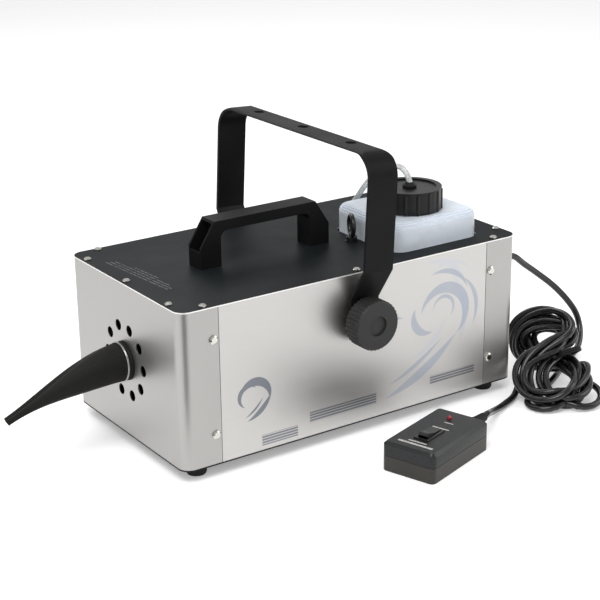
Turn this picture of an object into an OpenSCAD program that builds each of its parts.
// Portable snow and fog machine: sheet-metal box with a blower nozzle and cloth sock, a lift-out
// fluid bottle, a hanging bracket on two clamp knobs, a carry handle and a wired remote.
// Origin: the floor point under the middle of the box. -X is the nozzle end, -Y the left side.
// Millimetres, +Z up.

/* [Box] */
// Length of the box along X
body_l = 400; // [360:5:500]
// Width of the box along Y
body_w = 215; // [205:5:270]
// Height of the bright side panels
panel_h = 154.6; // [150:1:200]
// Outer radius of the four vertical corners
corner_r = 12; // [8:1:20]
// Sheet thickness of panels and end caps
sheet_t = 1.2; // [0.8:0.1:2]
// Thickness of the base plate and the top plate
plate_t = 1.5; // [1:0.1:3]
// Length of the end caps' returns along the sides
cap_return = 41; // [32:1:60]
// Width of the visible seam between cap and side panel
seam_gap = 0.6; // [0.3:0.1:1.5]
// Depth of the flanges that the screws go into
flange_w = 12; // [10:1:16]
// Height of the rubber feet
foot_h = 12.5; // [8:0.5:20]
// Diameter of the rubber feet
foot_d = 20; // [16:1:30]
// Distance of the foot centres from the box ends and sides
foot_inset = [24, 20.5]; // [15:0.5:35]

/* [Nozzle] */
// Height of the nozzle axis above the base plate
nozzle_up = 77; // [72:1:84]
// Outer diameter of the outlet pipe
pipe_d = 34; // [30:1:46]
// Wall of the outlet pipe
pipe_wall = 1.5; // [1:0.1:3]
// How far the pipe stands out of the end cap
pipe_out = 13; // [8:1:25]
// Diameter of the vent holes round the nozzle
vent_d = 11; // [6:0.5:13]
// Radius of the ring of vent holes
vent_ring = 35; // [33:1:42]
// Number of vent holes
vent_count = 10; // [6:1:12]
// Length of the cloth sock from its hem to its tip
sock_l = 122; // [90:1:180]
// How far the sock's tip hangs below the nozzle axis
sock_drop = 32; // [10:1:45]

/* [Handle] */
// Length of the carry handle over both feet
handle_l = 150; // [130:1:180]
// Width of the handle
handle_w = 23; // [18:1:32]
// Height of the handle above the top plate
handle_h = 46; // [38:1:60]
// Length of each handle foot
handle_foot = 23; // [20:1:32]
// Thickness of the grip
grip_t = 10.5; // [8:0.5:16]
// Wall thickness of the hollow handle feet
handle_wall = 2.5; // [2:0.5:4]
// Middle of the handle along X and Y
handle_at = [-46, -3.5]; // [-80:0.5:30]

/* [Bracket] */
// Width of the bracket's flat bar
bar_w = 33; // [25:1:40]
// Thickness of the bar
bar_t = 3; // [3:0.5:6]
// Gap between the box side and the bar's lower arm
arm_gap = 3.5; // [1.5:0.5:5]
// How much wider each arm stands above its joggle
joggle = 19.6; // [10:0.1:25]
// Distance from the pivot to the top of the bar
bracket_reach = 167; // [155:1:200]
// Height of the pivot above the base plate
pivot_up = 109; // [95:1:120]
// Lean of the stored bracket away from the nozzle, degrees
bracket_lean = 3.2; // [0:0.1:4]
// Outer radius of the bar's two top bends
bend_r = 25; // [15:1:35]
// Diameter of the mounting holes in the bar
mount_hole_d = 11; // [8:0.5:13]
// Distance between neighbouring mounting holes
mount_pitch = 80; // [50:1:90]

/* [Knobs] */
// Diameter of the clamp knobs
knob_d = 50; // [36:1:60]
// Thickness of the clamp knobs
knob_t = 23; // [18:1:30]
// Number of flutes round a knob
knob_flutes = 36; // [20:1:48]
// Diameter of the clamp stud
stud_d = 8; // [6:1:10]

/* [Bottle] */
// Length of the bottle along X
bottle_l = 108; // [85:1:110]
// Width of the bottle along Y
bottle_w = 107; // [90:1:120]
// Radius of the bottle's vertical corners
bottle_r = 15; // [10:1:25]
// Wall of the bottle
bottle_wall = 1.6; // [1.2:0.1:3]
// Height of the bottle's body
bottle_h = 128; // [110:1:140]
// Height of the bottle's flat top above the base plate
bottle_up = 184; // [178:1:195]
// Outer diameter of the bottle cap
cap_d = 68; // [50:1:74]
// Height of the bottle cap
cap_h = 22.5; // [18:0.5:30]
// Number of grip ribs on the cap
cap_ribs = 16; // [10:1:30]
// Outer diameter of the fluid hose
hose_d = 6; // [5:0.5:8]

/* [Remote] */
// Length of the remote's case
remote_l = 98; // [80:1:130]
// Width of the remote's case
remote_w = 58; // [50:1:75]
// Height of the remote's case
remote_h = 30; // [28:1:45]
// Wall of the remote's case
remote_wall = 2; // [1.5:0.5:3]
// Where the remote lies
remote_at = [25, -196]; // [-220:1:60]
// How far the remote is turned from the box, degrees
remote_turn = 18.5; // [0:0.5:40]
// Diameter of the remote's cord
cord_d = 7; // [5:0.5:8]

/* [Hidden] */
$fn = 48;

// Clearances
slip = 0.4;          // between parts that move past each other
shaft_play = 0.05;   // radial play of a shaft in its bore
bore_play = 0.25;    // radial play of a screw in a clearance hole
hose_play = 0.2;     // radial play of a hose in its gland
eps = 0.01;

// Levels
base_z = foot_h;                        // underside of the base plate
floor_z = base_z + plate_t;             // inside floor of the box
panel_z = floor_z;                      // bottom edge of the bright panels
lid_z = panel_z + panel_h;              // underside of the top plate
deck_z = lid_z + plate_t;               // upper face of the top plate
nozzle_z = floor_z + nozzle_up;
pivot_z = floor_z + pivot_up;
half_l = body_l / 2;
half_w = body_w / 2;
in_l = half_l - sheet_t;                // inner faces of the sheet walls
in_w = half_w - sheet_t;
seam_x = half_l - cap_return;           // seam between a cap and the side panels

// Screws: [shank radius, head radius, head height]
m3 = [1.5, 3.8, 2.2];
m4 = [2, 4.3, 2.4];
m5 = [2.5, 4.6, 2.8];
thread_play = 0.05;

steel = [0.80, 0.80, 0.79];
black = [0.12, 0.12, 0.13];
plastic = [0.17, 0.17, 0.17];
rubber = [0.08, 0.08, 0.08];
nickel = [0.75, 0.74, 0.70];
brass = [0.78, 0.62, 0.32];
natural = [0.86, 0.89, 0.95];
board_green = [0.10, 0.36, 0.22];

// ---- Helpers -------------------------------------------------------------------------------

// Rectangle with round corners, centred
module round_rect(l, w, r) {
    square([l - 2 * r, w], center = true);
    square([l, w - 2 * r], center = true);
    for (sx = [-1, 1], sy = [-1, 1])
        translate([sx * (l / 2 - r), sy * (w / 2 - r)]) circle(r);
}

// Upright slab of that outline
module round_slab(l, w, r, h) {
    linear_extrude(h) round_rect(l, w, r);
}

// Cylinder along X, from x = 0 towards +X
module rod_x(r, h) {
    rotate([0, 90, 0]) cylinder(r = r, h = h);
}

// Cylinder along Y, from y = 0 towards +Y
module rod_y(r, h) {
    rotate([-90, 0, 0]) cylinder(r = r, h = h);
}

// Pan-head screw, head up: the head stands on z = 0 and the shank goes down
module pan_screw(size, shank) {
    translate([0, 0, -shank]) cylinder(r = size[0] - bore_play, h = shank + eps);
    cylinder(r = size[1], h = size[2] * 0.55);
    translate([0, 0, size[2] * 0.55 - eps])
        cylinder(r1 = size[1], r2 = size[1] * 0.7, h = size[2] * 0.45 + eps);
}

// Hexagonal nut on z = 0 with a round bore
module hex_nut(across, bore_r, h) {
    difference() {
        cylinder(r = across / 2 / cos(30), h = h, $fn = 6);
        translate([0, 0, -1]) cylinder(r = bore_r, h = h + 2);
    }
}

function unit(v) = v / norm(v);
// Direction of a route at point i: along the chord between its neighbours
function heading(p, i) = unit(p[min(i + 1, len(p) - 1)] - p[max(i - 1, 0)]);
// Smooth route through hand-set points: Catmull-Rom, n steps between two points
function knot(p, i) = p[max(0, min(i, len(p) - 1))];
function curve_at(p, i, t) = 0.5 * (2 * knot(p, i) + (knot(p, i + 1) - knot(p, i - 1)) * t
    + (2 * knot(p, i - 1) - 5 * knot(p, i) + 4 * knot(p, i + 1) - knot(p, i + 2)) * t * t
    + (3 * knot(p, i) - knot(p, i - 1) - 3 * knot(p, i + 1) + knot(p, i + 2)) * t * t * t);
function smooth_route(p, n) = concat(
    [for (i = [0 : len(p) - 2], k = [0 : n - 1]) curve_at(p, i, k / n)], [p[len(p) - 1]]);
// Two unit vectors across a direction
function side_of(d) = unit(abs(d[2]) < 0.9 ? cross([0, 0, 1], d) : cross([1, 0, 0], d));
function ring_at(p, i, r, sides) =
    let (d = heading(p, i), u = side_of(d), v = cross(d, u))
    [for (k = [0 : sides - 1]) p[i] + r * (cos(360 * k / sides) * u + sin(360 * k / sides) * v)];

// Round tube swept along a route as one closed solid
module swept_tube(p, r, sides) {
    n = len(p);
    points = [for (i = [0 : n - 1]) each ring_at(p, i, r, sides)];
    walls = [for (i = [0 : n - 2], k = [0 : sides - 1]) each [
        [i * sides + k, (i + 1) * sides + (k + 1) % sides, i * sides + (k + 1) % sides],
        [i * sides + k, (i + 1) * sides + k, (i + 1) * sides + (k + 1) % sides]]];
    first = [for (k = [0 : sides - 1]) k];
    last = [for (k = [sides - 1 : -1 : 0]) (n - 1) * sides + k];
    polyhedron(points, concat(walls, [first, last]));
}

// ---- Box -----------------------------------------------------------------------------------

foot_x = half_l - foot_inset[0];
foot_y = half_w - foot_inset[1];
screw_in = 5.5;                         // plate screws from the box's outer faces
top_screw_at = concat(
    [for (sx = [-1, 1], sy = [-1, 1]) [sx * (half_l - 28), sy * (half_w - screw_in)]],
    [for (sx = [-1, 1], y = [-half_w + 27.5, 0, half_w - 27.5]) [sx * (half_l - screw_in), y]],
    [for (sy = [-1, 1]) [0, sy * (half_w - screw_in)]]);
base_screw_at = concat(
    [for (sx = [-1, 1], sy = [-1, 1]) [sx * (half_l - screw_in), sy * (half_w - 50)]],
    [for (sx = [-1, 1], sy = [-1, 1]) [sx * body_l / 4, sy * (half_w - screw_in)]]);
side_screw_x = half_l - 35;
side_screw_z = [panel_z + 29.5, lid_z - 30.6];
intake_slots = 9;

module base_plate() {
    color(black) translate([0, 0, base_z]) difference() {
        round_slab(body_l, body_w, corner_r, plate_t);
        for (sx = [-1, 1], sy = [-1, 1]) translate([sx * foot_x, sy * foot_y, -1])
            cylinder(r = m4[0], h = plate_t + 2);
        for (p = base_screw_at) translate([p[0], p[1], -1]) cylinder(r = m3[0] + 0.2, h = plate_t + 2);
        for (k = [0 : intake_slots - 1]) translate([blower_x - 32 + k * 8, -60, -1])
            linear_extrude(plate_t + 2) round_rect(4, 40, 1.9);
    }
}

// Folded sheet ring of the whole box outline with flanges top and bottom
module box_ring() {
    translate([0, 0, panel_z]) difference() {
        round_slab(body_l, body_w, corner_r, panel_h);
        translate([0, 0, -1])
            round_slab(2 * in_l, 2 * in_w, corner_r - sheet_t, panel_h + 2);
    }
    for (z = [panel_z, lid_z - sheet_t]) translate([0, 0, z]) difference() {
        round_slab(2 * in_l, 2 * in_w, corner_r - sheet_t, sheet_t);
        translate([0, 0, -1]) linear_extrude(sheet_t + 2)
            square([body_l - 2 * flange_w, body_w - 2 * flange_w], center = true);
    }
}

module flange_holes() {
    for (p = top_screw_at) translate([p[0], p[1], lid_z - 5]) cylinder(r = m3[0], h = 10);
    for (p = base_screw_at) translate([p[0], p[1], panel_z - 5]) cylinder(r = m3[0], h = 10);
}

module side_screw_holes(r) {
    for (sx = [-1, 1], z = side_screw_z) translate([sx * side_screw_x, -half_w - 5, z])
        rod_y(r, body_w + 10);
}

// One U-shaped end cap; dir is -1 at the nozzle end and 1 at the rear
module end_cap(dir) {
    difference() {
        intersection() {
            box_ring();
            translate([dir > 0 ? seam_x + seam_gap / 2 : -half_l - 1, -half_w - 1, panel_z - 1])
                cube([cap_return - seam_gap / 2 + 1, body_w + 2, panel_h + 2]);
        }
        flange_holes();
        side_screw_holes(m4[0]);
    }
}

module nozzle_end_cap() {
    color(steel) difference() {
        end_cap(-1);
        translate([-half_l - 5, 0, nozzle_z]) rod_x(pipe_d / 2 + bore_play, 10);
        for (k = [0 : vent_count - 1]) {
            a = 360 * (k + 0.5) / vent_count + 90;
            translate([-half_l - 5, vent_ring * cos(a), nozzle_z + vent_ring * sin(a)])
                rod_x(vent_d / 2, 10);
        }
    }
}

inlet_at = [45, floor_z + 42];          // mains inlet, y and z
switch_at = [45, floor_z + 92];         // power switch
socket_at = [-50, floor_z + 110];       // remote socket
inlet_size = [27, 19];
switch_size = [13, 19.2];
socket_r = 8;
exhaust_rows = 6;
exhaust_at = [-50, floor_z + 22];

module rear_end_cap() {
    color(steel) difference() {
        end_cap(1);
        translate([half_l - 5, inlet_at[0] - inlet_size[0] / 2, inlet_at[1] - inlet_size[1] / 2])
            cube([10, inlet_size[0], inlet_size[1]]);
        translate([half_l - 5, switch_at[0] - switch_size[0] / 2, switch_at[1] - switch_size[1] / 2])
            cube([10, switch_size[0], switch_size[1]]);
        translate([half_l - 5, socket_at[0], socket_at[1]]) rod_x(socket_r + 0.1, 10);
        for (k = [0 : exhaust_rows - 1]) translate([half_l - 5, exhaust_at[0], exhaust_at[1] + k * 9])
            rotate([90, 0, 90]) linear_extrude(10) round_rect(46, 4, 1.9);
    }
}

// One flat side panel; side is -1 on the left and 1 on the right
module side_panel(side) {
    color(steel) difference() {
        intersection() {
            box_ring();
            translate([-seam_x + seam_gap / 2, side > 0 ? 1 : -half_w - 1, panel_z - 1])
                cube([2 * seam_x - seam_gap, half_w, panel_h + 2]);
        }
        flange_holes();
        translate([0, side > 0 ? half_w - 5 : -half_w - 5, pivot_z]) rod_y(stud_d / 2 + bore_play, 10);
    }
}

well_gap = 2;                           // gap round the bottle in the top plate
grommet_at = [94, 40];
eye_at = [50, -25];

module top_plate() {
    color(black) translate([0, 0, lid_z]) difference() {
        round_slab(body_l, body_w, corner_r, plate_t);
        translate([bottle_x, bottle_y, -1])
            round_slab(bottle_l + 2 * well_gap, bottle_w + 2 * well_gap, bottle_r + well_gap, 10);
        for (p = top_screw_at) translate([p[0], p[1], -1]) cylinder(r = m3[0] + 0.2, h = 10);
        for (s = [-1, 1]) translate([handle_at[0] + s * handle_bolt_x, handle_at[1], -1])
            cylinder(r = m5[0] + 0.2, h = 10);
        translate([eye_at[0], eye_at[1], -1]) cylinder(r = eye_shank_r + 0.2, h = 10);
        translate([grommet_at[0], grommet_at[1], -1]) cylinder(r = grommet_neck_r + 0.1, h = 10);
    }
}

strip_w = 24;
strip_t = 2;

// Strips behind the four side seams: they join cap and panel and take the side screws
module seam_strips() {
    color(nickel) difference() {
        for (sx = [-1, 1], sy = [-1, 1])
            translate([sx * seam_x - strip_w / 2, sy > 0 ? in_w - strip_t : -in_w, panel_z + sheet_t])
                cube([strip_w, strip_t, panel_h - 2 * sheet_t]);
        side_screw_holes(m4[0] - bore_play + thread_play);
    }
}

foot_recess = 5;

module rubber_feet() {
    color(rubber) for (sx = [-1, 1], sy = [-1, 1]) translate([sx * foot_x, sy * foot_y, 0])
        difference() {
            union() {
                cylinder(r1 = foot_d / 2 - 1, r2 = foot_d / 2, h = 2);
                translate([0, 0, 2 - eps]) cylinder(r = foot_d / 2, h = foot_h - 2 + eps);
            }
            translate([0, 0, -1]) cylinder(r = m4[1] + 0.7, h = foot_recess + 1);
            translate([0, 0, -1]) cylinder(r = m4[0], h = foot_h + 2);
        }
}

module foot_fasteners() {
    color(nickel) for (sx = [-1, 1], sy = [-1, 1]) translate([sx * foot_x, sy * foot_y, 0]) {
        translate([0, 0, foot_recess]) mirror([0, 0, 1]) pan_screw(m4, floor_z + 4 - foot_recess);
        translate([0, 0, floor_z]) hex_nut(7, m4[0] - bore_play + thread_play, 3.2);
    }
}

module base_screws() {
    color(nickel) for (p = base_screw_at) translate([p[0], p[1], base_z])
        mirror([0, 0, 1]) pan_screw(m3, 6);
}

module top_screws() {
    color(nickel) for (p = top_screw_at) translate([p[0], p[1], deck_z]) pan_screw(m3, 6);
}

module side_screws() {
    color(nickel) for (sx = [-1, 1], sy = [-1, 1], z = side_screw_z)
        translate([sx * side_screw_x, sy * half_w, z]) rotate([-sy * 90, 0, 0]) pan_screw(m4, 7);
}

// ---- Carry handle --------------------------------------------------------------------------

handle_bolt_x = handle_l / 2 - handle_foot / 2;
handle_slant = 16;                      // the top corners stand in by this much
handle_knee = 21;                       // height at which the slant starts
handle_lip = 17;                        // height of the low end wall of a foot
handle_floor = 6;                       // floor of a foot's pocket
handle_fillet = 8;

module handle_outline() {
    a = handle_l / 2;
    b = a - handle_foot;
    top = handle_h - grip_t;
    difference() {
        polygon([[-a, 0], [-a, handle_knee], [-a + handle_slant, handle_h],
                 [a - handle_slant, handle_h], [a, handle_knee], [a, 0]]);
        translate([-b, -1]) square([2 * b, top - handle_fillet + 1]);
        translate([-b + handle_fillet, -1]) square([2 * (b - handle_fillet), top + 1]);
        for (s = [-1, 1]) translate([s * (b - handle_fillet), top - handle_fillet])
            circle(handle_fillet);
    }
}

// Side view of the pocket in one foot, open above the low end wall
module pocket_outline() {
    a = handle_l / 2;
    b = a - handle_foot;
    polygon([[-a + handle_wall, handle_floor], [-a + handle_wall, handle_lip],
             [-a - 1, handle_lip], [-a - 1, handle_h - handle_wall],
             [-b - handle_wall, handle_h - handle_wall], [-b - handle_wall, handle_floor]]);
}

module carry_handle() {
    color(plastic) translate([handle_at[0], handle_at[1], deck_z]) difference() {
        translate([0, handle_w / 2, 0]) rotate([90, 0, 0]) linear_extrude(handle_w) handle_outline();
        for (s = [0, 1]) mirror([s, 0, 0])
            translate([0, handle_w / 2 - handle_wall, 0]) rotate([90, 0, 0])
                linear_extrude(handle_w - 2 * handle_wall) pocket_outline();
        for (s = [-1, 1]) translate([s * handle_bolt_x, 0, -1]) cylinder(r = m5[0], h = handle_floor + 2);
    }
}

module handle_fasteners() {
    color(nickel) for (s = [-1, 1])
        translate([handle_at[0] + s * handle_bolt_x, handle_at[1], deck_z]) {
            translate([0, 0, handle_floor]) pan_screw(m5, handle_floor + plate_t + 7);
            translate([0, 0, -plate_t - 4]) hex_nut(8, m5[0] - bore_play + thread_play, 4);
        }
}

// ---- Safety eye ----------------------------------------------------------------------------

eye_wire = 4.6;
eye_ring_r = 10.2;                      // middle radius of the ring
eye_base_h = 5;
eye_shank_r = 2.5;
eye_turn = -23;

module eye_bolt() {
    color(black) translate([eye_at[0], eye_at[1], deck_z]) {
        cylinder(r = 6.6, h = 1);
        translate([0, 0, 1 - eps]) cylinder(r = 5.5 / cos(30), h = eye_base_h - 1 + eps, $fn = 6);
        translate([0, 0, -8]) cylinder(r = eye_shank_r, h = 9);
        translate([0, 0, -plate_t - 4]) cylinder(r = 4.5, h = 4);
        translate([0, 0, eye_base_h + eye_ring_r + eye_wire / 2 - 1]) rotate([0, 0, eye_turn])
            rotate([0, 90, 0]) rotate_extrude() translate([eye_ring_r, 0]) circle(eye_wire / 2, $fn = 24);
    }
}

// ---- Nozzle, duct and sock -----------------------------------------------------------------

pipe_r = pipe_d / 2;
pipe_mouth = -half_l - pipe_out;        // x of the pipe's open end
pipe_l = 46;
pipe_root = pipe_mouth + pipe_l;        // x where the duct adapter starts
collar_t = 4;
hem_start = pipe_mouth + pipe_out - collar_t - 1;
band_w = 1.8;                           // width of the spring ring that holds the sock
hem_l = 14;

module outlet_pipe() {
    color(black) translate([pipe_mouth, 0, nozzle_z]) difference() {
        rod_x(pipe_r, pipe_l);
        translate([-1, 0, 0]) rod_x(pipe_r - pipe_wall, pipe_l + 2);
        translate([spray_x - pipe_mouth, 0, 0]) rod_y(spray_feed_r + 0.1, pipe_r + 2);
    }
}

module pipe_collar() {
    color(black) translate([-half_l - collar_t, 0, nozzle_z]) difference() {
        union() {
            rod_x(pipe_r + 1.5, collar_t);
            translate([collar_t - 1.2, 0, 0]) rod_x(pipe_r + 2.5, 1.2);
        }
        translate([-1, 0, 0]) rod_x(pipe_r + 0.1, collar_t + 2);
    }
}

sock_hem_r = pipe_r + 1.8;              // outside of the hem
sock_tip_r = [4, 5];                    // half height and half width of the flattened tip
sock_sides = 24;
sock_rings = 16;
// Middle line of the sock: level at the pipe, then drooping; t runs from 0 at the hem to 1
function sock_mid(t) = [hem_start - sock_l * t, 0, nozzle_z - sock_drop * pow(t, 1.6)];
// Half height and half width of the sock: round at the pipe, a flat narrow tip
function sock_swell(t) = (1 + cos(180 * pow(t, 1.1))) / 2;
function sock_half_h(t) = sock_tip_r[0] + (sock_hem_r - sock_tip_r[0]) * sock_swell(t);
function sock_half_w(t) = sock_tip_r[1] + (sock_hem_r - sock_tip_r[1]) * sock_swell(t);

module sock() {
    points = [for (i = [0 : sock_rings], k = [0 : sock_sides - 1])
        let (t = i / sock_rings, a = 360 * k / sock_sides, m = sock_mid(t))
        [m[0], m[1] + sock_half_w(t) * cos(a), m[2] + sock_half_h(t) * sin(a)]];
    walls = [for (i = [0 : sock_rings - 1], k = [0 : sock_sides - 1]) each [
        [i * sock_sides + k, i * sock_sides + (k + 1) % sock_sides,
         (i + 1) * sock_sides + (k + 1) % sock_sides],
        [i * sock_sides + k, (i + 1) * sock_sides + (k + 1) % sock_sides, (i + 1) * sock_sides + k]]];
    first = [for (k = [sock_sides - 1 : -1 : 0]) k];
    last = [for (k = [0 : sock_sides - 1]) sock_rings * sock_sides + k];
    color(rubber) difference() {
        polyhedron(points, concat(walls, [first, last]));
        translate([pipe_mouth - 1, 0, nozzle_z]) rod_x(pipe_r + 0.3, pipe_out + 5);
    }
}

module sock_band() {
    color(nickel) translate([hem_start - band_w - 0.6, 0, nozzle_z]) difference() {
        rod_x(sock_hem_r + 0.9, band_w);
        translate([-1, 0, 0]) rod_x(sock_hem_r + 0.02, band_w + 2);
    }
}

spray_x = -half_l + 22;
spray_feed_r = 2.5;

// Brass jet on the pipe axis, held by its feed tube through the pipe's wall
module spray_nozzle() {
    color(brass) translate([spray_x, 0, nozzle_z]) difference() {
        union() {
            translate([-12, 0, 0]) rod_x(3, 6 + eps);
            translate([-6, 0, 0]) rod_x(4.5, 12);
            rod_y(spray_feed_r, pipe_r + 8);
            translate([0, pipe_r + 0.2, 0]) rod_y(4, 2);
        }
        translate([-13, 0, 0]) rod_x(0.6, 16);
    }
}

// ---- Blower --------------------------------------------------------------------------------

blower_x = -half_l + 108;
scroll_w = 50;
scroll_wall = 2;
blower_top = nozzle_z + 20;             // upper and lower faces of the outlet
blower_low = nozzle_z - 20;
scroll_r = 48;                          // largest radius of the spiral, at the outlet
scroll_growth = 10;                     // the radius grows by this much in one turn
blower_z = blower_top - scroll_r;       // shaft height
outlet_x = -half_l + 52;                // x of the housing's outlet flange
shaft_r = 3;

// Spiral casing wall, from the outlet's upper face round to its lower face
function scroll_point(a, inset) = (scroll_r - scroll_growth * a / 360 - inset) * [sin(a), cos(a)];

module scroll_outline(inset) {
    mouth = outlet_x - blower_x - (inset > 0 ? 5 : 0);      // the hollow runs out through the outlet
    low = blower_low - blower_z + inset;
    last = 270 + asin(low / (scroll_r - scroll_growth * 0.78 - inset));
    spiral = [for (k = [0 : 36]) scroll_point(last * k / 36, inset)];
    translate([0, blower_z]) polygon(concat(spiral, [[mouth, low], [mouth, scroll_r - inset]]));
}

module blower_housing() {
    foot_y0 = -scroll_w / 2 - 12;
    color(plastic) difference() {
        union() {
            translate([blower_x, scroll_w / 2, 0]) rotate([90, 0, 0])
                linear_extrude(scroll_w) scroll_outline(0);
            translate([blower_x - 30, foot_y0, floor_z]) cube([60, scroll_w + 24, 3]);
            translate([blower_x - 26, -scroll_w / 2, floor_z]) cube([52, scroll_w, 16]);
        }
        translate([blower_x, scroll_w / 2 - scroll_wall, 0]) rotate([90, 0, 0])
            linear_extrude(scroll_w) scroll_outline(scroll_wall);
        translate([blower_x, 0, blower_z]) rod_y(shaft_r + 2, scroll_w);
    }
}

inlet_ring_r = 26;

// Flat cover on the open side of the casing, with the round air inlet
module blower_cover() {
    color(plastic) difference() {
        translate([blower_x, -scroll_w / 2, 0]) rotate([90, 0, 0])
            linear_extrude(scroll_wall) scroll_outline(0);
        translate([blower_x, -scroll_w / 2 - 5, blower_z]) rod_y(inlet_ring_r, 10);
    }
}

wheel_r = 33;
wheel_w = 38;
blade_count = 28;
wheel_y = scroll_w / 2 - scroll_wall - 3;   // back plate's outer face

module impeller() {
    color([0.3, 0.3, 0.32]) translate([blower_x, wheel_y, blower_z]) rotate([90, 0, 0]) difference() {
        union() {
            cylinder(r = wheel_r, h = 2);
            cylinder(r = 8, h = 16);
            translate([0, 0, 2 - eps]) linear_extrude(wheel_w - 4 + 2 * eps)
                for (k = [0 : blade_count - 1]) rotate(360 * k / blade_count)
                    translate([wheel_r - 7.5, 0]) rotate(-35) square([7, 1], center = true);
            translate([0, 0, wheel_w - 2]) difference() {
                cylinder(r = wheel_r, h = 2);
                translate([0, 0, -1]) cylinder(r = wheel_r - 12, h = 4);
            }
        }
        translate([0, 0, -1]) cylinder(r = shaft_r + 0.02, h = 20);
    }
}

motor_r = 23;
motor_l = 38;

module motor_shaft() {
    color(nickel) translate([blower_x, wheel_y - 14, blower_z])
        rod_y(shaft_r, motor_l + scroll_w / 2 - wheel_y + 14 + 4);
}

module blower_motor() {
    color([0.45, 0.45, 0.47]) translate([blower_x, scroll_w / 2, blower_z]) difference() {
        union() {
            rod_y(motor_r, motor_l);
            translate([0, motor_l - eps, 0]) rod_y(10, 3);
        }
        translate([0, -1, 0]) rod_y(shaft_r + shaft_play, motor_l + 6);
    }
}

// Duct between the casing's square outlet and the round pipe
module duct_adapter() {
    rim = 2.2;
    color(plastic) difference() {
        union() {
            hull() {
                translate([outlet_x - 1, -scroll_w / 2, blower_low]) cube([1, scroll_w, 40]);
                translate([pipe_root, 0, nozzle_z]) rod_x(pipe_r + rim, 1);
            }
            translate([pipe_root - 6, 0, nozzle_z]) rod_x(pipe_r + rim, 7);
        }
        hull() {
            translate([outlet_x - 0.5, -scroll_w / 2 + 2, blower_low + 2]) cube([1, scroll_w - 4, 36]);
            translate([pipe_root - 0.2, 0, nozzle_z]) rod_x(pipe_r - pipe_wall, 1);
        }
        translate([pipe_root - 7, 0, nozzle_z]) rod_x(pipe_r + 0.1, 7);
    }
}

// ---- Pump and hoses inside the box ---------------------------------------------------------

pump_at = [8, half_w - 38, floor_z + 32];
pump_r = 17;
pump_l = 56;
port_r = 3;

module fluid_pump() {
    color([0.55, 0.56, 0.58]) translate([pump_at[0] - pump_l / 2, pump_at[1], pump_at[2]]) {
        rod_x(pump_r, pump_l);
        translate([-8, 0, 0]) rod_x(7, 8 + eps);
        translate([-18, 0, 0]) rod_x(port_r, 10 + eps);
        translate([pump_l - eps, 0, 0]) rod_x(7, 8);
        translate([pump_l + 8 - 2 * eps, 0, 0]) rod_x(port_r, 10);
    }
}

module pump_cradle() {
    color(nickel) difference() {
        union() {
            translate([pump_at[0] - 18, pump_at[1] - pump_r - 2, floor_z])
                cube([36, 2 * pump_r + 4, pump_at[2] - floor_z - 6]);
            translate([pump_at[0] - 18, pump_at[1] - pump_r - 6, floor_z])
                cube([36, 2 * pump_r + 12, 2]);
        }
        translate([pump_at[0] - 20, pump_at[1], pump_at[2]]) rod_x(pump_r + 0.1, 40);
        translate([pump_at[0] - 20, pump_at[1] - 13, floor_z + 2]) cube([40, 26, 8]);
    }
}

module suction_hose() {
    route = [[grommet_at[0], grommet_at[1], lid_z - 12], [grommet_at[0], grommet_at[1] + 4, 120],
             [86, 56, 82], [76, pump_at[1] - 2, 60], [pump_at[0] + pump_l / 2 + 27, pump_at[1], pump_at[2]],
             [pump_at[0] + pump_l / 2 + 19, pump_at[1], pump_at[2]]];
    color(natural) swept_tube(smooth_route(route, 3), hose_d / 2, 10);
}

module pressure_hose() {
    route = [[pump_at[0] - pump_l / 2 - 19, pump_at[1], pump_at[2]],
             [pump_at[0] - pump_l / 2 - 27, pump_at[1], pump_at[2]], [-62, half_w - 22, 52],
             [-96, half_w - 15, 62], [-130, half_w - 22, 78], [-158, 62, nozzle_z],
             [spray_x + 4, 46, nozzle_z], [spray_x, pipe_r + 9, nozzle_z]];
    color(natural) swept_tube(smooth_route(route, 3), hose_d / 2, 10);
}

// ---- Control board -------------------------------------------------------------------------

board_at = [half_l - 110, half_w - 72];
board_size = [80, 52];
standoff_h = 8;
board_z = floor_z + standoff_h;

module board_holes(r, z, h) {
    for (dx = [4, board_size[0] - 4], dy = [4, board_size[1] - 4])
        translate([board_at[0] + dx, board_at[1] + dy, z]) cylinder(r = r, h = h);
}

module control_board() {
    color(board_green) difference() {
        translate([board_at[0], board_at[1], board_z]) cube([board_size[0], board_size[1], 1.6]);
        board_holes(1.6, board_z - 1, 4);
    }
}

module board_standoffs() {
    color(brass) board_holes(3, floor_z, standoff_h);
}

module board_parts() {
    color([0.2, 0.2, 0.22]) translate([board_at[0], board_at[1], board_z + 1.6]) {
        translate([10, 12, 0]) cube([26, 28, 22]);
        translate([42, 10, 0]) cube([19, 15, 15]);
        translate([42, 30, 0]) cube([19, 15, 15]);
        translate([66, 16, 0]) cylinder(r = 5, h = 16);
        translate([66, 32, 0]) cylinder(r = 5, h = 16);
    }
}

// ---- Bottle --------------------------------------------------------------------------------

bottle_x = half_l - 85;
bottle_y = -half_w + 76;
bottle_top = floor_z + bottle_up;
bottle_z = bottle_top - bottle_h;
neck_at = [bottle_x - 3, bottle_y - 8.5];
cap_r = cap_d / 2;
cap_z = bottle_top + 1;
cap_wall = 3;
neck_r = cap_r - cap_wall - 1;
neck_h = cap_h - 6;
shoulder = 9;                           // rounding between the bottle's walls and its top
shoulder_steps = 5;
gland_hole_r = 5;

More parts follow.
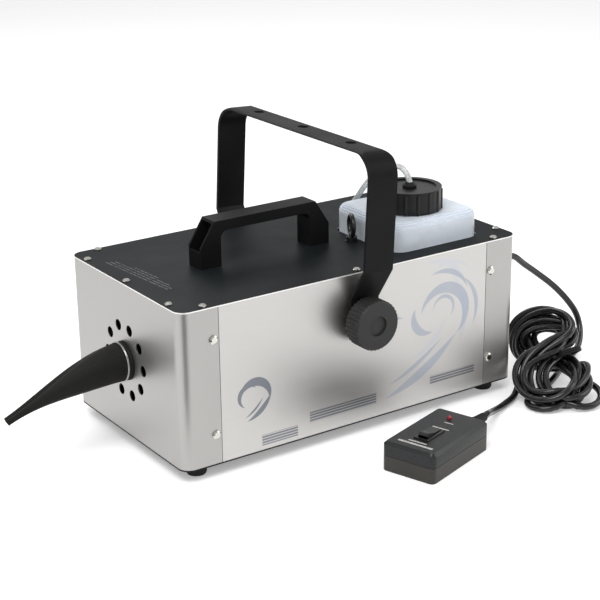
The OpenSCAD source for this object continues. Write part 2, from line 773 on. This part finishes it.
// Closed bottle outline: straight walls, then a shoulder built of quarter-round steps
module bottle_solid(inset) {
    translate([bottle_x, bottle_y, bottle_z + inset])
        round_slab(bottle_l - 2 * inset, bottle_w - 2 * inset, bottle_r - inset,
                   bottle_h - shoulder - inset);
    translate([bottle_x, bottle_y, bottle_top - shoulder - eps])
        for (k = [0 : shoulder_steps - 1]) {
            a0 = 90 * k / shoulder_steps;
            a1 = 90 * (k + 1) / shoulder_steps;
            s = shoulder * (1 - cos((a0 + a1) / 2)) + inset;
            z0 = (shoulder - inset) * sin(a0);
            z1 = (shoulder - inset) * sin(a1);
            translate([0, 0, z0 - eps])
                round_slab(bottle_l - 2 * s, bottle_w - 2 * s, max(bottle_r - s, 2), z1 - z0 + 2 * eps);
        }
}

module bottle() {
    color(natural) difference() {
        union() {
            bottle_solid(0);
            translate([neck_at[0], neck_at[1], bottle_top - 3]) cylinder(r = neck_r, h = neck_h + 3);
        }
        bottle_solid(bottle_wall);
        translate([neck_at[0], neck_at[1], bottle_top - 6])
            cylinder(r = neck_r - 2, h = neck_h + 10);
    }
}

module bottle_cap() {
    color(black) translate([neck_at[0], neck_at[1], cap_z]) difference() {
        union() {
            cylinder(r = cap_r - 1.2, h = cap_h);
            for (k = [0 : cap_ribs - 1]) rotate(360 * k / cap_ribs)
                translate([cap_r - 2.2, 0, 0]) cylinder(r = 2.2, h = cap_h - 2, $fn = 24);
        }
        translate([0, 0, -1]) cylinder(r = neck_r + slip, h = cap_h - 3.6 + 1);
        translate([0, 0, cap_h - 1.6]) cylinder(r = cap_r - 7, h = 3);
        translate([0, 0, cap_h - 8]) cylinder(r = gland_hole_r + slip, h = 12);
    }
}

// Hose gland through the cap: the cap turns round it
module cap_gland() {
    z0 = cap_z + cap_h - 3.6;
    color(rubber) translate([neck_at[0], neck_at[1], z0]) difference() {
        union() {
            translate([0, 0, -2.4]) cylinder(r = gland_hole_r + 3, h = 2);
            translate([0, 0, -2.4]) cylinder(r = gland_hole_r, h = 5.4);
            translate([0, 0, 2.3]) cylinder(r = gland_hole_r + 2.2, h = 2.4);
            translate([0, 0, 4.6]) cylinder(r1 = gland_hole_r, r2 = hose_d / 2 + 0.8, h = 3);
        }
        translate([0, 0, -4]) cylinder(r = hose_d / 2 + hose_play, h = 20);
    }
}

filter_h = 14;

// Suction tube inside the bottle, with its weighted filter
module pickup_tube() {
    top = cap_z + cap_h - 3.6 + 1;
    low = bottle_z + bottle_wall + 3;
    color(natural) translate([neck_at[0], neck_at[1], 0]) {
        translate([0, 0, low + filter_h - eps]) cylinder(r = hose_d / 2, h = top - low - filter_h);
        translate([0, 0, low]) cylinder(r = 6, h = filter_h);
    }
}

grommet_neck_r = 5.5;

module hose_grommet() {
    color(rubber) translate([grommet_at[0], grommet_at[1], 0]) difference() {
        union() {
            translate([0, 0, lid_z - 2]) cylinder(r = 8.5, h = 2);
            translate([0, 0, lid_z - 1]) cylinder(r = grommet_neck_r, h = plate_t + 2);
            translate([0, 0, deck_z]) cylinder(r = 8.5, h = 2.5);
        }
        translate([0, 0, lid_z - 5]) cylinder(r = hose_d / 2 + 0.6, h = 20);
    }
}

// Free loop of hose from the cap's gland down through the top plate
module fluid_hose() {
    top = cap_z + cap_h;
    route = [[neck_at[0], neck_at[1], top - 2.4], [neck_at[0], neck_at[1], top + 5],
             [neck_at[0] - 1.5, neck_at[1] + 5, 234.5], [109, -25, 238.5], [105, -6, 234],
             [100.5, 16, 214], [97, 28, 197], [grommet_at[0] + 0.8, grommet_at[1] - 3.5, 185],
             [grommet_at[0], grommet_at[1] - 0.3, 178], [grommet_at[0], grommet_at[1], deck_z],
             [grommet_at[0], grommet_at[1], lid_z - 11]];
    color(natural) swept_tube(smooth_route(route, 3), hose_d / 2, 12);
}

tray_lip = 8;
tray_foot = 6;

// Folded shelf that the bottle stands on
module bottle_tray() {
    l = bottle_l + 4;
    w = bottle_w + 5;
    color(nickel) translate([bottle_x - l / 2, bottle_y - w / 2, 0]) {
        translate([0, 0, bottle_z - 1.5]) cube([l, w, 1.5]);
        for (x = [0, l - 1.5]) translate([x, 0, floor_z]) cube([1.5, w, bottle_z - floor_z + tray_lip]);
        for (y = [0, w - 1.5]) translate([0, y, bottle_z - 1.5]) cube([l, 1.5, 1.5 + tray_lip]);
        for (x = [-tray_foot, l - 1.5 - tray_foot]) translate([x, 0, floor_z]) cube([tray_foot + 1.5, w, 1.5]);
    }
}

// ---- Hanging bracket -----------------------------------------------------------------------

arm_y = half_w + arm_gap;               // inner face of the lower arm
high_y = arm_y + joggle;                // inner face of the upper arm
joggle_low = 23;                        // heights above the pivot
joggle_high = 55;
arm_tail = 18;                          // the arm ends this far below the pivot

// Quarter bend of radius r round (cy, cz), from the side up to the top
function bend_arc(r, cy, cz) = [for (k = [0 : 16]) let (a = 90 * k / 16) [cy + r * cos(a), cz + r * sin(a)]];
function flipped(path) = [for (k = [len(path) - 1 : -1 : 0]) [-path[k][0], path[k][1]]];

// Outline of the bar seen along X, in the plane of height over side
module bar_outline() {
    cy = high_y + bar_t - bend_r;
    cz = bracket_reach - bend_r;
    outer = concat([[arm_y + bar_t, -arm_tail], [arm_y + bar_t, joggle_low - 1.2],
                    [high_y + bar_t, joggle_high - 1.2]], bend_arc(bend_r, cy, cz));
    inner = concat([[arm_y, -arm_tail], [arm_y, joggle_low], [high_y, joggle_high]],
                   bend_arc(bend_r - bar_t, cy, cz));
    polygon(concat(outer, flipped(outer), [for (p = inner) [-p[0], p[1]]], flipped([for (p = inner) [-p[0], p[1]]])));
}

module hanging_bracket() {
    span = 2 * (high_y + bar_t) + 2;
    color(black) translate([0, 0, pivot_z]) rotate([0, bracket_lean, 0]) difference() {
        intersection() {
            translate([-bar_w / 2, 0, 0]) rotate([90, 0, 90]) linear_extrude(bar_w) bar_outline();
            translate([0, span / 2, 0]) rotate([90, 0, 0]) linear_extrude(span)
                translate([0, (bracket_reach - arm_tail) / 2])
                    round_rect(bar_w, bracket_reach + arm_tail + 2 * eps, 8);
        }
        translate([0, -span / 2, 0]) rod_y(stud_d / 2 + bore_play, span);
        for (k = [-1 : 1]) translate([0, k * mount_pitch, bracket_reach - bar_t - 5])
            cylinder(r = mount_hole_d / 2, h = bar_t + 10);
    }
}

module pivot_washers() {
    color(rubber) for (s = [-1, 1]) translate([0, s > 0 ? half_w : -half_w - arm_gap, pivot_z])
        difference() {
            rod_y(14, arm_gap);
            translate([0, -1, 0]) rod_y(stud_d / 2 + bore_play, arm_gap + 2);
        }
}

nut_l = 7;

module pivot_nuts() {
    color(nickel) for (s = [-1, 1]) translate([0, s > 0 ? in_w - nut_l : -in_w, pivot_z])
        rotate([-90, 0, 0]) hex_nut(13, stud_d / 2 + shaft_play, nut_l);
}

// Fluted clamp knob; side is -1 on the left and 1 on the right
module knob(side) {
    flute_r = 1.5;
    dish_r = knob_d / 5;
    color(plastic) translate([0, side * (arm_y + bar_t), pivot_z]) rotate([-side * 90, 0, 0])
        difference() {
            union() {
                cylinder(r = 13, h = 5);
                translate([0, 0, 4]) cylinder(r = knob_d / 2, h = knob_t - 6);
                translate([0, 0, knob_t - 2 - eps])
                    cylinder(r1 = knob_d / 2, r2 = knob_d / 2 - 2, h = 2 + eps);
            }
            for (k = [0 : knob_flutes - 1]) rotate(360 * k / knob_flutes)
                translate([knob_d / 2 + 0.5, 0, 3]) cylinder(r = flute_r, h = knob_t, $fn = 16);
            translate([0, 0, knob_t - 2.5]) cylinder(r = dish_r, h = 5);
            translate([0, 0, -1]) cylinder(r = stud_d / 2 + 0.02, h = stud_in + 1);
        }
}

stud_in = 14;                           // length of the stud inside the knob

module stud(side) {
    color(nickel) translate([0, side * (arm_y + bar_t + stud_in), pivot_z]) rotate([side * 90, 0, 0])
        cylinder(r = stud_d / 2, h = stud_in + bar_t + arm_gap + sheet_t + nut_l + 2);
}

// ---- Rear fittings -------------------------------------------------------------------------

module power_inlet() {
    w = inlet_size[0];
    h = inlet_size[1];
    color(black) translate([half_l, inlet_at[0], inlet_at[1]]) difference() {
        union() {
            translate([-22, -w / 2 + 0.2, -h / 2 + 0.2]) cube([22, w - 0.4, h - 0.4]);
            rotate([90, 0, 90]) linear_extrude(3) round_rect(w + 22, h + 8, 4);
        }
        translate([-16, -w / 2 + 2, -h / 2 + 2]) cube([20, w - 4, h - 4]);
        for (s = [-1, 1]) translate([-1, s * (w / 2 + 6.5), 0]) rod_x(1.7, 6);
    }
    color(nickel) for (y = [-7, 0, 7]) translate([half_l - 17, inlet_at[0] + y - 1, inlet_at[1] - 2 + (y == 0 ? 3 : -1)])
        cube([13, 2, 4]);
}

rocker_tilt = 10;                       // the rocker rests tilted by this much, degrees
rocker_gap = 0.5;

module switch_frame() {
    w = switch_size[0];
    h = switch_size[1];
    color(black) translate([half_l, switch_at[0], switch_at[1]]) difference() {
        union() {
            translate([-16, -w / 2 + 0.2, -h / 2 + 0.2]) cube([16, w - 0.4, h - 0.4]);
            translate([0, -w / 2 - 1, -h / 2 - 1]) cube([2, w + 2, h + 2]);
        }
        translate([-12, -w / 2 + 1.5, -h / 2 + 1.5]) cube([20, w - 3, h - 3]);
    }
}

// Rocker seen along its pivot: a shallow V on top and a round belly, len long and tilted by a
module rocker_outline(len, rise, a) {
    belly = [for (k = [0 : 12]) [len / 2 * cos(15 * k), rise * (0.2 - 0.8 * sin(15 * k))]];
    rotate(a) polygon(concat([[-len / 2, rise], [0, rise * 0.72], [len / 2, rise]], belly));
}

module power_rocker() {
    w = switch_size[0] - 3 - 2 * rocker_gap;
    len = switch_size[1] - 3 - 2 * rocker_gap - 1;
    color(rubber) translate([half_l - 2, switch_at[0] + w / 2, switch_at[1]])
        rotate([90, 0, 0]) linear_extrude(w) rotate(-90) rocker_outline(len, 4.6, rocker_tilt);
}

module remote_socket() {
    color(black) translate([half_l, socket_at[0], socket_at[1]]) difference() {
        union() {
            translate([-14, 0, 0]) rod_x(socket_r, 14);
            rotate([90, 0, 90]) linear_extrude(2.5) round_rect(26, 26, 5);
        }
        translate([-10, 0, 0]) rod_x(socket_r - 1.5, 20);
        for (sy = [-1, 1], sz = [-1, 1]) translate([-1, sy * 9.5, sz * 9.5]) rod_x(1.4, 6);
    }
}

// ---- Remote --------------------------------------------------------------------------------

remote_split = 15.5;                    // height of the parting line
remote_bevel = 3;
remote_r = 5;
remote_line = 0.4;
rocker_x = -12;
rocker_frame = [30, 16];
led_at = [30, 4];
boot_y = -9;
boot_z = 19.8;
case_screws = [[-41, -19.5], [-41, 19.5], [41, 19.5], [41, -21]];

module on_remote() {
    translate([remote_at[0], remote_at[1], 0]) rotate(remote_turn) children();
}

module remote_base() {
    color(plastic) on_remote() difference() {
        round_slab(remote_l, remote_w, remote_r, remote_split);
        translate([0, 0, remote_wall]) difference() {
            round_slab(remote_l - 2 * remote_wall, remote_w - 2 * remote_wall, remote_r - remote_wall,
                       remote_split);
            for (p = case_screws) translate([p[0], p[1], -1]) cylinder(r = 3.6, h = remote_split + 1);
        }
        for (p = case_screws) translate([p[0], p[1], -1]) {
            cylinder(r = 1.5, h = remote_split + 2);
            cylinder(r = 3, h = 4);
        }
    }
}

module remote_top() {
    z0 = remote_split + remote_line;
    skin = remote_h - z0;
    color(plastic) on_remote() translate([0, 0, z0]) difference() {
        union() {
            round_slab(remote_l, remote_w, remote_r, skin - remote_bevel + eps);
            hull() {
                translate([0, 0, skin - remote_bevel]) round_slab(remote_l, remote_w, remote_r, eps);
                translate([0, 0, skin - eps])
                    round_slab(remote_l - 2 * remote_bevel, remote_w - 2 * remote_bevel,
                               remote_r - 2, eps);
            }
        }
        translate([0, 0, -1]) round_slab(remote_l - 2 * remote_wall, remote_w - 2 * remote_wall,
                                         remote_r - remote_wall, skin - remote_wall + 1 - 1.5);
        translate([rocker_x - rocker_frame[0] / 2 + 1, -rocker_frame[1] / 2 + 1, -1])
            cube([rocker_frame[0] - 2, rocker_frame[1] - 2, skin + 2]);
        translate([led_at[0], led_at[1], -1]) cylinder(r = 2.6, h = skin + 2);
        translate([remote_l / 2 - remote_wall - 1, boot_y, boot_z - z0]) rod_x(4.6, 10);
    }
}

module remote_board() {
    color(board_green) on_remote() difference() {
        translate([-34, -20, 10]) cube([64, 38, 1.6]);
        translate([rocker_x - 13, -7, 9]) cube([26, 14, 4]);
    }
    color([0.2, 0.2, 0.22]) on_remote() {
        for (x = [-28, 24]) translate([x, -12, remote_wall]) cube([4, 24, 8]);
        translate([8, -14, 11.6]) cube([10, 8, 6]);
    }
}

// Rocker switch of the remote, carried between the cheeks of its own frame
module remote_rocker() {
    w = rocker_frame[1] - 2 - 3 - 2 * rocker_gap;
    len = rocker_frame[0] - 2 - 3 - 2 * rocker_gap - 1;
    color(black) on_remote() translate([rocker_x, w / 2, remote_h + 0.4])
        rotate([90, 0, 0]) linear_extrude(w) rocker_outline(len, 4, -rocker_tilt);
}

// Switch frame, lamp and case screws of the remote
module remote_fittings() {
    fx = rocker_frame[0];
    fy = rocker_frame[1];
    color(black) on_remote() {
        difference() {
            union() {
                translate([rocker_x - fx / 2, -fy / 2, remote_h]) cube([fx, fy, 1.4]);
                translate([rocker_x - fx / 2 + 1.2, -fy / 2 + 1.2, remote_split + 6])
                    cube([fx - 2.4, fy - 2.4, remote_h - remote_split - 6 + eps]);
            }
            translate([rocker_x - fx / 2 + 2.5, -fy / 2 + 2.5, remote_split + 7])
                cube([fx - 5, fy - 5, 20]);
        }
    }
    color("darkred") on_remote() translate([led_at[0], led_at[1], remote_h - 6]) {
        cylinder(r = 2.45, h = 7);
        translate([0, 0, 7]) intersection() {
            sphere(2.45, $fn = 32);
            cylinder(r = 3, h = 3);
        }
    }
    color(nickel) on_remote() for (p = case_screws) translate([p[0], p[1], 1]) {
        cylinder(r = 2.7, h = 2);
        cylinder(r = 1.3, h = 16);
    }
}

// ---- Cord ----------------------------------------------------------------------------------

boot_l = 24;

// Stepped strain relief on the remote's end
module cord_boot() {
    color(rubber) on_remote() translate([remote_l / 2 - remote_wall - 0.8, boot_y, boot_z]) {
        difference() {
            union() {
                translate([-1.6, 0, 0]) rod_x(6.4, 1.6);
                rod_x(4.4, remote_wall + 1.2);
                translate([remote_wall + 0.9, 0, 0]) rod_x(6.4, 6);
                translate([remote_wall + 6.8, 0, 0]) rotate([0, 90, 0])
                    cylinder(r1 = 5.8, r2 = cord_d / 2 + 1, h = boot_l - 6);
            }
            translate([-4, 0, 0]) rod_x(cord_d / 2 + 0.02, boot_l + 12);
        }
    }
}

plug_l = 36;

module cord_plug() {
    color(black) translate([half_l, socket_at[0], socket_at[1]]) {
        translate([-8, 0, 0]) rod_x(socket_r - 1.7, 10.7);
        translate([2.6, 0, 0]) rod_x(9, plug_l - 12);
        translate([plug_l - 9.5, 0, 0]) rotate([0, 90, 0])
            cylinder(r1 = 7, r2 = cord_d / 2 + 1.2, h = 12);
    }
}

// Turned hank of spare cord, standing beside the rear corner
hank_at = [246, -112];
hank_turn = 55;
hank_l = 166;
hank_w = 68;
hank_h = 58;
// Free stretches of the cord, chosen by hand: machine to hank, and hank to remote
lead_points = [[240, -50, 124], [251, -49, 120], [267, -46, 108], [288, -44, 93], [312, -45, 74],
               [329, -49, 56], [338, -56, 40], [338, -64, 25], [330, -73, 13], [317, -81, 6],
               [304, -88, 4.5], [292, -93, 4.5]];
tail_points = [[97.5, -181.2, 19.8], [105, -176.5, 18.5], [118, -166, 13], [133, -156, 8],
               [150, -147, 4.6], [168, -139, 4], [184, -132, 4], [199, -125, 4]];

module cord_lead() {
    color(rubber) {
        swept_tube(smooth_route(lead_points, 2), cord_d / 2, 10);
        swept_tube(smooth_route(tail_points, 2), cord_d / 2, 10);
    }
}

module cord_hank() {
    color(rubber) translate([hank_at[0], hank_at[1], 0]) rotate(hank_turn) linear_extrude(hank_h) {
        square([hank_l - hank_w, hank_w], center = true);
        for (s = [-1, 1]) translate([s * (hank_l - hank_w) / 2, 0]) circle(hank_w / 2);
    }
}

// ---- Nodes ---------------------------------------------------------------------------------

base_plate();
nozzle_end_cap();
rear_end_cap();
side_panel(-1);  // side_panel_left
side_panel(1);  // side_panel_right
top_plate();
seam_strips();
rubber_feet();
foot_fasteners();
base_screws();
top_screws();
side_screws();
carry_handle();
handle_fasteners();
eye_bolt();
outlet_pipe();
pipe_collar();
sock();
sock_band();
duct_adapter();
spray_nozzle();
pressure_hose();
blower_housing();
blower_cover();
impeller();
motor_shaft();
blower_motor();
fluid_pump();
pump_cradle();
suction_hose();
control_board();
board_parts();
board_standoffs();
bottle_tray();
bottle();
bottle_cap();
cap_gland();
pickup_tube();
fluid_hose();
hose_grommet();
hanging_bracket();
pivot_washers();
pivot_nuts();
knob(-1);  // knob_left
knob(1);  // knob_right
stud(-1);  // stud_left
stud(1);  // stud_right
power_inlet();
switch_frame();
power_rocker();
remote_socket();
remote_base();
remote_top();
remote_board();
remote_rocker();
remote_fittings();
cord_boot();
cord_plug();
cord_lead();
cord_hank();
